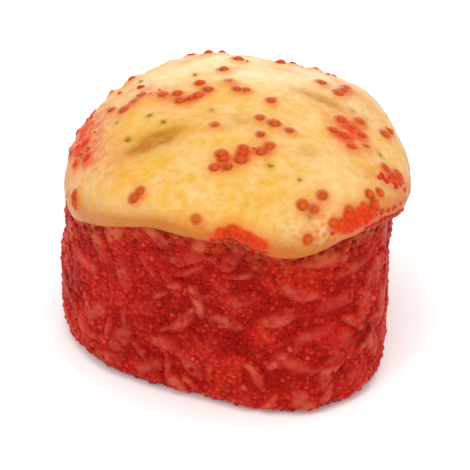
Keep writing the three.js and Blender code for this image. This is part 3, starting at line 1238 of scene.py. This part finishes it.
BLUSHED_PATCHES = (
    Patch(168, 67, 8.4, 3.4, -72, strength=1.5),
    Patch(150, 38, 5.5, 1.4, -45, strength=0.6),
    Patch(314, 81, 4.0, 2.8, 40, strength=0.8),
    Patch(340, 71, 4.2, 1.7, 9, strength=1.0),
    Patch(271, 96, 5.0, 2.3, 0, strength=1.0),
    Patch(352, 41, 3.0, 2.1, 83, strength=0.75),
    Patch(330, 96, 7.0, 3.0, 60, strength=1.0),
    Patch(199, 84, 1.8, 1.0, 60, strength=0.9),
    Patch(28, 55, 4.5, 1.8, -40, strength=0.5),
    Patch(60, 70, 5.0, 2.4, -30, strength=0.9),
    Patch(120, 76, 6.0, 2.4, 30, strength=0.9),
)

RED_PATCHES = (
    Patch(314, 81, 2.6, 1.9, 40, strength=1.5),
    Patch(322, 100, 7.5, 4.0, 50, strength=1.0),
    Patch(271, 92, 3.9, 2.6, 0, strength=2.2),
    Patch(271, 112, 5.4, 6.0, 0, strength=1.0),
    Patch(352, 41, 2.4, 1.6, 83, strength=0.75),
    Patch(341, 71, 2.6, 0.7, 9, strength=0.8),
    Patch(345, 98, 4.0, 3.0, 80, strength=0.7),
    Patch(168, 70, 6.8, 2.0, -74, strength=1.1),
    Patch(270, 29, 3.0, 0.5, 38, strength=0.4),
    Patch(60, 72, 3.6, 1.2, -30, strength=0.7),
    Patch(118, 80, 4.4, 1.2, 30, strength=0.7),
)

# Paler sauce; over the back of the dome the patches are partly a painted sheen.
PALE_AND_PAINTED_SHEEN_PATCHES = (
    Patch(66, 26, 5.5, 2.2, -20, strength=0.7),
    Patch(40, 44, 4.5, 2.0, -50, strength=0.6),
    Patch(122, 38, 5.5, 2.2, 30, strength=0.6),
    Patch(222, 78, 5.0, 3.0, -40, strength=0.35),
    Patch(188, 60, 5.0, 2.0, 80, strength=0.35),
    Patch(320, 53, 4.4, 2.4, -40, strength=0.3),
    Patch(84, 46, 6.0, 2.4, 0, strength=0.5),
    Patch(140, 50, 4.0, 1.8, 50, strength=0.4),
)

CURDLED_PATCHES = (Patch(300, 78, 3.6, 3.2, 0),)

SPILLED_PATCHES = (
    Patch(167, 69, 7.4, 1.9, -74, grains=80),
    Patch(150, 40, 4.6, 1.0, -40, grains=7),
    Patch(313, 80, 3.6, 2.2, 40, grains=40),
    Patch(330, 94, 5.2, 2.0, 60, grains=34),
    Patch(340, 70, 3.2, 0.9, 9, grains=14),
    Patch(271, 96, 3.8, 1.7, 0, grains=46),
    Patch(352, 41, 2.6, 1.6, 83, grains=8),
    Patch(270, 29, 3.0, 0.9, 38, grains=8),
    Patch(60, 70, 5.0, 2.4, -30, grains=24),
    Patch(120, 76, 6.0, 2.4, 30, grains=26),
)

# The azimuth of each scorched fleck and its angle from the crown, in degrees.
FLECKS = (
    (160, 54), (175, 44), (193, 40), (177, 30), (189, 25), (190, 8), (325, 22), (302, 44),
    (11, 44), (347, 56), (84, 40), (298, 65), (8, 49), (292, 33), (120, 30), (70, 66), (140, 50),
)


@dataclass(frozen=True)
class SetGrain:
    """A grain of roe set in the dome."""

    azimuth: float
    down: float
    radius: float


@dataclass
class CapRoe:
    """The larger grains of roe, half sunk in the dome."""

    form: RollForm
    least: float = 0.56
    most: float = 0.82
    narrowest: float = 0.88  # the least width of a grain, as a share of its length
    flatness: float = 0.95  # its height, as a share of its length
    sunk: float = 0.22  # how far its middle lies in the sauce, as a share of its radius
    lowest: float = 88.0  # degrees from the crown to the lowest grain
    dimmest: float = 0.7
    massed_most: float = 0.9  # how much of the masses' red a grain can take
    seed: int = 90
    grains: list[SetGrain] = field(default_factory=list)

    def __post_init__(self) -> None:
        """Sets the grains by the same draw as the solids'."""
        dice = Dice(self.seed)
        for patch in ROE_PATCHES:
            for azimuth, down in patch.places(self.form, self.lowest):
                radius = dice.draw(self.least, self.most)
                dice.draw()  # the solids' draw also turns each grain
                self.grains.append(SetGrain(azimuth, down, radius))

    def centres(self) -> Array:
        """Where the grains break the dome's surface, one row each."""
        return self.form.dome(*self.azimuths_and_downs())

    def azimuths_and_downs(self) -> Array:
        """A row of the grains' azimuths and a row of their angles from the crown."""
        return np.array([[grain.azimuth, grain.down] for grain in self.grains]).T

    def make(self) -> bpy.types.Object:
        """Builds the grains.

        Returns:
            The piece that holds them all.
        """
        draw = np.random.default_rng(self.seed)
        template = Skin.bead(columns=16, tilts=(24, 48, 70, 90, 110, 132, 156))
        places = []
        for grain in self.grains:
            radius = grain.radius
            width = radius * draw.uniform(self.narrowest, 1.0)
            size = (radius, width, radius * self.flatness)
            spin = draw.uniform(0.0, math.pi)
            at = (grain.azimuth, grain.down)
            places.append(seated(self.form, at, -self.sunk * radius, size, spin))
        skin = Skin.scattered(template, places)
        own = draw.uniform(self.dimmest, 1.0, (len(places), 1))
        massed = marked(RED_PATCHES, self.form, *self.azimuths_and_downs())
        # each grain's own tint times painted light and shade through it
        painted_lit_tints = (own * painted_light_through(template, places)).ravel()
        massed_red_and_painted_glint = np.repeat(np.clip(massed, 0.0, self.massed_most), len(template.points))
        made = skin.piece("cap_roe", {"tint": painted_lit_tints, "massed_red_and_painted_glint": massed_red_and_painted_glint})
        # deep is the painted shade at a grain's rim, bright the painted light in its middle
        finish = RoeFinish(
            "roe_on_cap",
            deep=(0.22, 0.024, 0.003),
            bright=(0.67, 0.105, 0.013),
            massed_red_and_painted_glint=(0.65, 0.038, 0.004),
            roughness=0.2,
        )
        made.data.materials.append(finish.material())
        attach(made, BODY)
        return made


@dataclass
class BakedCap:
    """The cap of baked cheese sauce. Widths and heights are in mm, strengths are shares."""

    form: RollForm
    roe: CapRoe
    columns: int = 620
    dome_rows: int = 120
    lip_rows: int = 14
    lip_ends: tuple[float, float] = (0.06, 0.94)  # of the lip's half turn, inner wall first
    bite: float = 0.35  # how far the lip's inside sinks into the rice, so that no gap shows
    underside_down: float = 2.4  # the angle from the crown that stands for the underside
    lip_downs: tuple[float, float] = (2.3, 1.65)  # and those that stand for the lip

    halo_width: float = 0.95  # how far a grain tints the sauce round it
    halo_each: float = 0.38
    halo_most: float = 0.75
    stain_width: float = 0.42  # how far it stains the sauce strongly
    stain_each: float = 0.5
    stain_from: float = 0.55  # how much of it has to gather before it shows
    stain_most: float = 0.95
    # painted light: the stain is set off towards the front right, where light through the grains
    # would fall
    stain_painted_light_shift: tuple[float, float, float] = (0.14, -0.26, 0.0)
    clots: Ripples = Ripples(seed=21, shortest=0.9, longest=2.2)
    clot_range: tuple[float, float] = (-1.1, 0.4)  # heights with none and all of the masses' red
    # the dark rims round the grains, partly stain and partly painted shade, set off towards the
    # back left
    rim_width: float = 0.17
    rim_strength: float = 0.75
    rim_hidden: float = 0.7  # how much of a rim the red masses hide
    rim_painted_shade_shift: tuple[float, float, float] = (0.10, -0.13, 0.0)
    curds: Ripples = Ripples(seed=23, shortest=1.0, longest=2.0)
    curd_width: float = 0.4
    curd_pale: float = 0.7
    curd_blush: float = 0.5
    pale_most: float = 0.8
    blush_most: float = 0.9
    scorch_width: float = 0.55
    scorch_strength: float = 0.6
    # painted shade: the lower edge, the lip and the underside are painted darker
    painted_shade_downs: tuple[float, float] = (1.14, 1.62)  # where the lower edge darkens
    painted_shade_strength: float = 0.95
    painted_shade_taken_back: float = 0.9  # how much of that the pale patches take back

    relief_downs: tuple[float, float] = (2.0, 1.3)  # where there is none and all of the relief
    steepest: float = 1.6  # below this angle the relief keeps its direction
    relief: tuple[tuple[float, Ripples], ...] = (
        (0.15, Ripples(seed=11, shortest=6.0, longest=13.0)),
        (0.06, Ripples(seed=12, shortest=1.6, longest=3.4)),
        (0.018, Ripples(seed=13, shortest=0.8, longest=1.5)),
    )
    swell: float = 0.24  # how high the sauce rises to a grain
    swell_width: float = 0.5
    browned_dent: float = 0.12
    ragged: Ripples = Ripples(seed=15, shortest=3.0, longest=8.0)
    raggedness: float = 0.3  # how unevenly the lip hangs

    def marks(self, azimuth: Array, down: Array, points: Array) -> dict[str, Array]:
        """Where the sauce is stained, rimmed, browned and blushed, and where shade and a sheen are
        painted on it.

        Args:
            azimuth: azimuths of the points in radians.
            down: their angles from the crown in radians; beyond half of pi on the lip.
            points: the points in mm.

        Returns:
            Values of 0 to 1 by the names that the finish reads.
        """
        dome = (self.form, azimuth, down)
        haloes = fade(self.from_grains(points), self.halo_width).sum(axis=1)
        stains = fade(self.from_grains(points - self.stain_painted_light_shift), self.stain_width).sum(axis=1)
        rims = fade(self.from_grains(points + self.rim_painted_shade_shift), self.rim_width).max(axis=1)
        clotted = marked(RED_PATCHES, *dome)
        clotted = clotted * ease(*self.clot_range, self.clots.height(points))
        curds = fade(self.curds.height(points), self.curd_width)
        curdled = marked(CURDLED_PATCHES, *dome)
        # pale patches, partly painted sheen, and pale curds
        pale_and_painted_sheen = marked(PALE_AND_PAINTED_SHEEN_PATCHES, *dome) + self.curd_pale * curdled * curds
        pale_and_painted_sheen = np.clip(pale_and_painted_sheen, 0.0, self.pale_most)
        blushed = marked(BLUSHED_PATCHES, *dome) + self.curd_blush * curdled * (1.0 - curds)
        flecks = self.form.dome(*np.radians(FLECKS).T)
        scorched = fade(distances(points, flecks).min(axis=1), self.scorch_width)
        stained = self.stain_each * (stains - self.stain_from) + clotted
        bared = 1.0 - np.clip(clotted, 0.0, self.rim_hidden)
        # painted shade towards the lower edge and round the lip
        under = self.painted_shade_strength * ease(*self.painted_shade_downs, down)
        return {
            "haloed": np.clip(self.halo_each * haloes, 0.0, self.halo_most),
            "stained": np.clip(stained, 0.0, self.stain_most),
            "rim_stain_and_painted_shade": self.rim_strength * rims * bared,
            "browned": np.clip(marked(BROWNED_PATCHES, *dome), 0.0, 1.0),
            "pale_and_painted_sheen": pale_and_painted_sheen,
            "blushed": np.clip(blushed, 0.0, self.blush_most),
            "scorched": self.scorch_strength * scorched,
            "under": under * (1.0 - self.painted_shade_taken_back * pale_and_painted_sheen),
        }

    def from_grains(self, points: Array) -> Array:
        """How far points lie outside each grain of roe, one column for each grain."""
        radii = np.array([grain.radius for grain in self.roe.grains])
        return np.maximum(distances(points, self.roe.centres()) - radii, 0.0)

    def rings(self) -> tuple[Array, Array, Array]:
        """Rings of the cap from its underside, round its lip and up its dome.

        Returns:
            The points, and each point's azimuth and angle from the crown.
        """
        form = self.form
        azimuth = full_turn(self.columns)
        edge = form.edge_height(azimuth)
        inner = form.neck_radius(azimuth) - self.bite
        widest = form.dome(azimuth, np.full_like(azimuth, math.pi / 2))
        hang = self.raggedness * self.ragged.height(widest)
        rings, downs = [], []
        for shoulder in reversed(form.shoulders):
            height = mix(edge, form.rice_height, shoulder.rise) - self.bite
            rings.append(polar(azimuth, inner - shoulder.inset, height))
            downs.append(self.underside_down)
        for share in np.linspace(0.0, 1.0, self.lip_rows):
            turn = math.pi * mix(*self.lip_ends, share)
            lip = form.lip(azimuth, np.full_like(azimuth, turn), self.bite)
            lip[:, 2] += math.sin(turn) * hang
            rings.append(lip)
            downs.append(mix(*self.lip_downs, share))
        for row in range(self.dome_rows, 0, -1):
            down = math.pi / 2 * row / self.dome_rows
            rings.append(form.dome(azimuth, np.full_like(azimuth, down)))
            downs.append(down)
        return np.stack(rings), np.tile(azimuth, len(rings)), np.repeat(downs, self.columns)

    def raised(self, azimuth: Array, down: Array, points: Array) -> Array:
        """Gives the bare cap its relief.

        Args:
            azimuth: azimuths of the points in radians.
            down: their angles from the crown in radians.
            points: the points in mm.

        Returns:
            The points, moved straight out of the cap or into it.
        """
        away = self.from_grains(points).min(axis=1)
        browned = marked(BROWNED_PATCHES, self.form, azimuth, down)
        lift = sum(height * waves.height(points) for height, waves in self.relief)
        lift = lift + self.swell * fade(away, self.swell_width) - self.browned_dent * browned
        outward = self.form.outward(azimuth, np.minimum(down, self.steepest))
        return points + outward * (lift * ease(*self.relief_downs, down))[:, None]

    def make(self) -> bpy.types.Object:
        """Builds the cap.

        Returns:
            The piece that stands for the solid cap.
        """
        rings, azimuth, down = self.rings()
        points = self.raised(azimuth, down, rings.reshape(-1, 3))
        crown = np.array([0.0, 0.0, points[-self.columns :, 2].mean()])
        under = np.array([0.0, 0.0, self.form.rice_height - self.bite])
        skin = Skin.closed(under, points.reshape(rings.shape), crown)
        marks = self.marks(azimuth, down, points)
        ended = {name: np.concatenate([[0.0], values, [0.0]]) for name, values in marks.items()}
        made = skin.piece("baked_sauce_cap", ended)
        made.data.materials.append(SauceFinish().material())
        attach(made, BODY)
        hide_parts("baked_cap")
        return made


@dataclass
class SpilledRoe:
    """Fine roe that the sauce half covers, where it thins out towards its edge."""

    form: RollForm
    least: float = 0.24
    most: float = 0.44
    narrowest: float = 0.85  # the least width of a grain, as a share of its length
    stray: float = 0.35  # how far a grain strays from its even place, in mm
    sunk: float = 0.35  # how far its middle lies in the sauce, as a share of its radius
    lowest: float = 122.0  # degrees from the crown to the lowest grain, round the lip
    dimmest: float = 0.5
    # painted shade: how bright a grain's painted dark side stays
    unlit: float = 0.3  # how bright the darkest side of a grain is
    seed: int = 77

    def make(self) -> bpy.types.Object:
        """Builds the grains.

        Returns:
            The piece that holds them all.
        """
        draw = np.random.default_rng(self.seed)
        template = Skin.bead(columns=12, tilts=(30, 60, 90, 120, 150))
        places = []
        for patch in SPILLED_PATCHES:
            for azimuth, down in patch.places(self.form, self.lowest):
                radius = draw.uniform(self.least, self.most)
                strayed = draw.normal(scale=self.stray, size=2) / self.form.cap.mean
                at = (azimuth + strayed[0], down + strayed[1])
                size = (radius, radius * draw.uniform(self.narrowest, 1.0), radius)
                spin = draw.uniform(0.0, math.pi)
                places.append(seated(self.form, at, -self.sunk * radius, size, spin))
        skin = Skin.scattered(template, places)
        own = draw.uniform(self.dimmest, 1.0, (len(places), 1))
        # each grain's own tint times painted light and shade through it
        painted_lit_tints = own * mix(self.unlit, 1.0, painted_light_through(template, places))
        made = skin.piece("spilled_roe", {"tint": painted_lit_tints.ravel()})
        finish = RoeFinish("roe_spilled", deep=(0.38, 0.018, 0.005), bright=(0.68, 0.075, 0.028))
        made.data.materials.append(finish.material())
        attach(made, BODY)
        return made


@dataclass
class Flecks:
    """Small scorched flecks on the dome."""

    form: RollForm
    least: float = 0.16
    most: float = 0.34
    length: float = 1.3  # half sizes of a fleck, as shares of its drawn size
    narrowest: float = 0.6
    thickness: float = 0.35
    lift: float = 0.05  # how far its middle stands off the dome
    seed: int = 61

    def make(self) -> bpy.types.Object:
        """Builds the flecks.

        Returns:
            The piece that holds them all.
        """
        draw = np.random.default_rng(self.seed)
        template = Skin.bead(columns=10, tilts=(30, 60, 90, 120, 150))
        places = []
        for at in np.radians(FLECKS):
            size = draw.uniform(self.least, self.most)
            width = size * draw.uniform(self.narrowest, 1.0)
            scale = (size * self.length, width, size * self.thickness)
            spin = draw.uniform(0.0, math.pi)
            places.append(seated(self.form, at, self.lift, scale, spin))
        made = Skin.scattered(template, places).piece("scorched_flecks")
        made.data.materials.append(SpeckFinish().material())
        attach(made, BODY)
        return made


# ------------------------------------------------------------------ studio


@dataclass(frozen=True)
class SoftLight:
    """A soft square light: where it hangs and its side in metres, and its power in watts."""

    name: str
    place: tuple[float, float, float]
    side: float
    power: float
    colour: Colour = (1.0, 1.0, 1.0)
    aim: tuple[float, float, float] = (0.0, 0.0, 0.015)

    def make(self) -> None:
        """Hangs the light and turns it to the piece."""
        data = bpy.data.lights.new(self.name, "AREA")
        data.size = self.side
        data.energy = self.power
        data.color = self.colour
        made = bpy.data.objects.new(self.name, data)
        made.location = self.place
        way = Vector(self.aim) - Vector(self.place)
        made.rotation_euler = way.to_track_quat("-Z", "Y").to_euler()
        bpy.context.scene.collection.objects.link(made)


@dataclass
class Studio:
    """The pale floor, the soft lights and the camera."""

    elevation: float = 36.0  # the photograph looks down at this angle
    distance: float = 950.0  # mm from the piece
    mm_per_pixel: float = 0.24  # of the photograph, at the piece
    origin_pixel: tuple[float, float] = (250.1, 328.5)  # the frame's origin in the photograph
    window_centre: tuple[float, float] = (250.0, 281.0)  # what the render shows of it
    window_width: float = 240.0
    sensor: float = 36.0
    nearest: float = 0.01  # metres from the camera to the first thing that it shows
    floor_half: float = 1.5  # metres
    air_strength: float = 0.88
    lights: tuple[SoftLight, ...] = (
        SoftLight("key", (0.02, -0.22, 0.88), 0.60, 4.0, (1.0, 0.99, 0.97)),
        SoftLight("back_sheen", (0.10, 1.10, 0.28), 0.60, 2.1),
        SoftLight("glint", (-0.30, -0.42, 0.58), 0.09, 0.5),
    )

    def floor(self) -> None:
        """Lays the floor."""
        half = self.floor_half
        mesh = bpy.data.meshes.new("floor")
        corners = [(-half, -half, 0.0), (half, -half, 0.0), (half, half, 0.0), (-half, half, 0.0)]
        mesh.from_pydata(corners, [], [(0, 1, 2, 3)])
        made = bpy.data.objects.new("floor", mesh)
        bpy.context.scene.collection.objects.link(made)
        made.data.materials.append(GroundFinish().material())

    def camera(self) -> None:
        """Sets the camera at the photograph's angle."""
        tilt = math.radians(self.elevation)
        upward = Vector((0.0, math.sin(tilt), math.cos(tilt)))
        backward = Vector((0.0, -math.cos(tilt), math.sin(tilt)))
        right = (self.window_centre[0] - self.origin_pixel[0]) * self.mm_per_pixel
        up = (self.origin_pixel[1] - self.window_centre[1]) * self.mm_per_pixel
        aim = Vector((right, 0.0, 0.0)) + upward * up
        data = bpy.data.cameras.new("camera")
        data.sensor_width = self.sensor
        data.lens = self.sensor * self.distance / (self.window_width * self.mm_per_pixel)
        data.clip_start = self.nearest
        made = bpy.data.objects.new("camera", data)
        made.location = (aim + backward * self.distance) * MM
        made.rotation_euler = (math.radians(90.0 - self.elevation), 0.0, 0.0)
        bpy.context.scene.collection.objects.link(made)
        bpy.context.scene.camera = made

    def air(self) -> None:
        """Fills the studio with even white light."""
        world = bpy.data.worlds.new("studio_air")
        world.use_nodes = True
        background = world.node_tree.nodes["Background"]
        background.inputs["Color"].default_value = (1.0, 1.0, 1.0, 1.0)
        background.inputs["Strength"].default_value = self.air_strength
        bpy.context.scene.world = world

    def make(self) -> None:
        """Sets up the whole studio."""
        self.floor()
        self.camera()
        for light in self.lights:
            light.make()
        self.air()
        bpy.context.scene.view_settings.view_transform = "Standard"


# ------------------------------------------------------------------ putting it together


def report(piece: bpy.types.Object) -> None:
    """Logs one piece."""
    mesh = piece.data
    log.info("%s: %d points, %d faces", piece.name, len(mesh.vertices), len(mesh.polygons))


def main() -> None:
    """Builds the studio and the pieces in order."""
    logging.basicConfig(level=logging.INFO, format="%(name)s %(message)s")
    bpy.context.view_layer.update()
    form = RollForm()
    Studio().make()
    drum = RiceDrum(form)
    roe = CapRoe(form)
    report(drum.make())
    for piece in RoeCoat(form, drum).make():
        report(piece)
    report(BakedCap(form, roe).make())
    report(roe.make())
    report(SpilledRoe(form).make())
    report(Flecks(form).make())


if __name__ == "__main__":
    main()
